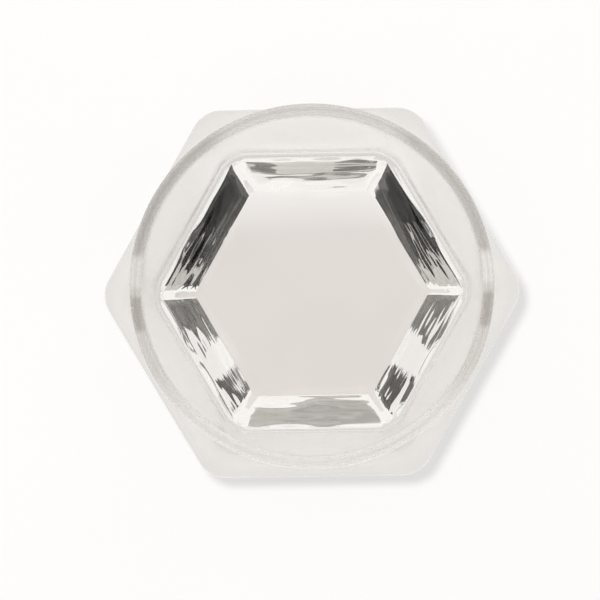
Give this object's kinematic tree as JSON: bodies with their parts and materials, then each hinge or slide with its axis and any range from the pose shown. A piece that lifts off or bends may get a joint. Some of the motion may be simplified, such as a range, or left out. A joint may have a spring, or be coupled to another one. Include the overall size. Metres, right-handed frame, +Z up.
{
  "type": "graduated cylinder",
  "caption": "Stout clear glass graduated cylinder with a round mouth and a hexagonal lower end, standing in a separate clear hexagonal foot, with a white enamel scale on its side.",
  "frame": {"origin": "the middle of the foot's underside, on the cylinder's axis", "axes": "+Z up along the cylinder's axis, +X towards a corner of the hexagon, and the scale faces -Y"},
  "size_m": [0.0624, 0.0554, 0.08],
  "materials": {
    "clear_glass": "fire-polished, clear",
    "clear_acrylic": "moulded, clear",
    "white_enamel": "fired on, satin"
  },
  "bodies": {
    "foot": {"hexagonal_foot": "clear_acrylic"},
    "cylinder": {"glass_cylinder": "clear_glass", "scale_lines": "white_enamel"}
  },
  "joints": [
    {"name": "cylinder_lift", "type": "slide", "parent": "foot", "child": "cylinder", "axis": [0, 0, 1], "range_m": [0, 0.024]}
  ]
}
